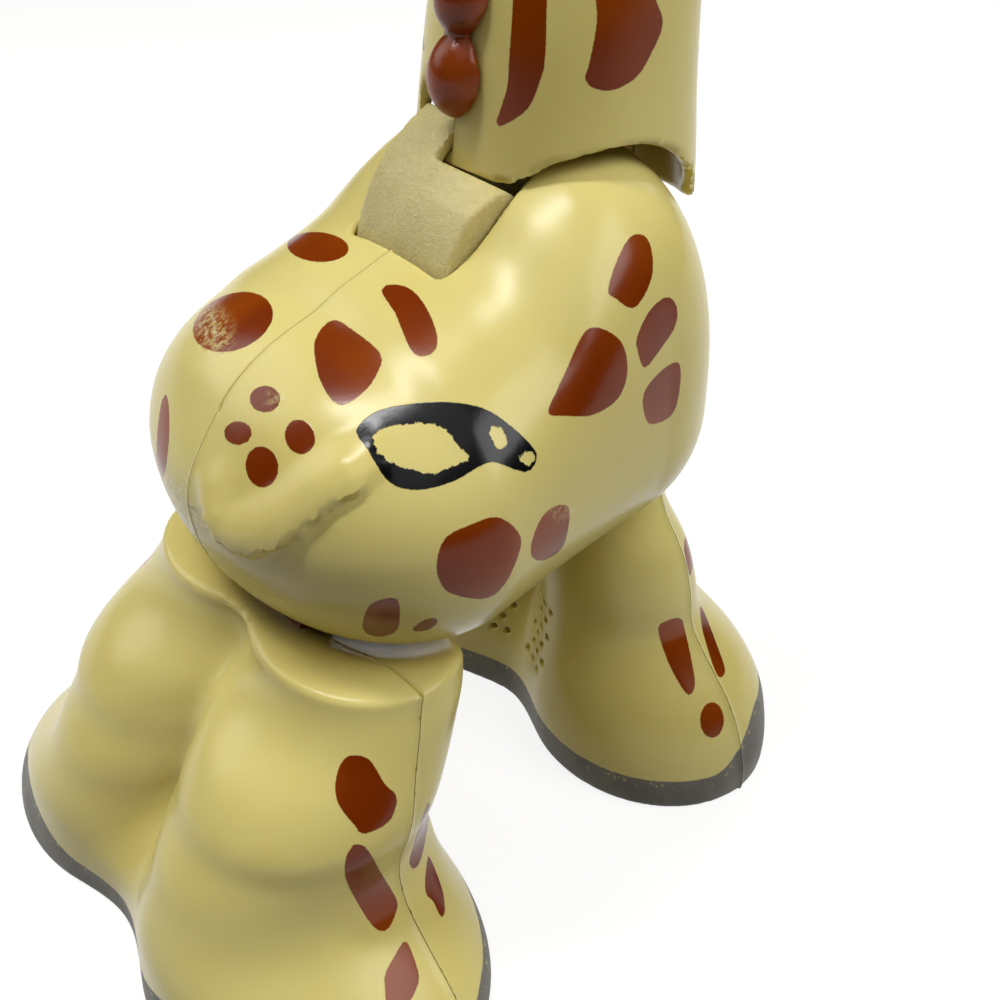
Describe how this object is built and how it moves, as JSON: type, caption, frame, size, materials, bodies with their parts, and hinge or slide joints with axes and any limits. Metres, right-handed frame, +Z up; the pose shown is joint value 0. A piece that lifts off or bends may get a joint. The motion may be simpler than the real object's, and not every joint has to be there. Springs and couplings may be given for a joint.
{
  "type": "interactive toy figure",
  "caption": "Moulded plastic toy giraffe with a tilting neck, swinging leg pairs, a speaker behind sound holes and a battery box.",
  "frame": {"origin": "on the floor, under the middle of the figure's length and width", "axes": "+X forward to the muzzle, +Y to the figure's left, +Z up"},
  "size_m": [0.1515, 0.1156, 0.2468],
  "materials": {
    "yellow_shell": "satin moulded plastic with printed spots",
    "cradle": "fine grained, slightly clear",
    "brown_trim": "glossy",
    "eye": "polished",
    "arm": "plain moulded",
    "sole": "fine grained",
    "steel": "plated",
    "board": "solder mask",
    "cell": "printed sleeve",
    "dark_plastic": "moulded"
  },
  "bodies": {
    "torso": {"torso_shell_left": "yellow_shell", "torso_shell_right": "yellow_shell", "neck_axle": "steel", "rear_hip_axle": "steel", "front_hip_axle": "steel", "torso_screw_1": "steel", "torso_screw_2": "steel", "torso_screw_3": "steel", "torso_screw_4": "steel", "circuit_board": "board", "board_chip": "dark_plastic", "neck_switch": "dark_plastic"},
    "neck": {"neck_shell_left": "yellow_shell", "neck_shell_right": "yellow_shell", "neck_screw_1": "steel", "neck_screw_2": "steel", "neck_screw_3": "steel", "neck_cradle": "cradle", "mane": "brown_trim", "ear_left": "yellow_shell", "ossicone_left": "brown_trim", "eye_left": "eye", "ear_right": "yellow_shell", "ossicone_right": "brown_trim", "eye_right": "eye"},
    "rear_legs": {"rear_leg_shell_back": "yellow_shell", "rear_leg_shell_front": "yellow_shell", "rear_leg_screw_1": "steel", "rear_leg_screw_2": "steel", "rear_leg_screw_3": "steel", "rear_leg_screw_4": "steel", "rear_hip_arm": "arm", "rear_sole_plate": "sole", "battery_door": "sole", "battery_tray": "dark_plastic", "battery_door_screw": "steel", "battery_cell_1": "cell", "battery_cell_2": "cell", "battery_cell_3": "cell", "battery_contact_1": "steel", "battery_contact_2": "steel", "battery_contact_3": "steel", "battery_contact_4": "steel"},
    "front_legs": {"front_leg_shell_back": "yellow_shell", "front_leg_shell_front": "yellow_shell", "front_leg_screw_1": "steel", "front_leg_screw_2": "steel", "front_hip_arm": "arm", "front_sole_plate": "sole", "speaker_frame": "steel", "speaker_cone": "dark_plastic", "speaker_magnet": "steel"},
    "power_switch": {"power_switch": "dark_plastic"}
  },
  "joints": [
    {"name": "neck_tilt", "type": "hinge", "parent": "torso", "child": "neck", "pos_m": [0.0175, 0, 0.0985], "axis": [0, 1, 0], "range_deg": [-16, 2]},
    {"name": "rear_legs_swing", "type": "hinge", "parent": "torso", "child": "rear_legs", "pos_m": [-0.018, 0, 0.076], "axis": [0, 1, 0], "range_deg": [-8, 8]},
    {"name": "front_legs_swing", "type": "hinge", "parent": "torso", "child": "front_legs", "pos_m": [0.018, 0, 0.076], "axis": [0, 1, 0], "range_deg": [-8, 8]},
    {"name": "power_switch_slide", "type": "slide", "parent": "rear_legs", "child": "power_switch", "axis": [1, 0, 0], "range_m": [0, 0.003]}
  ]
}
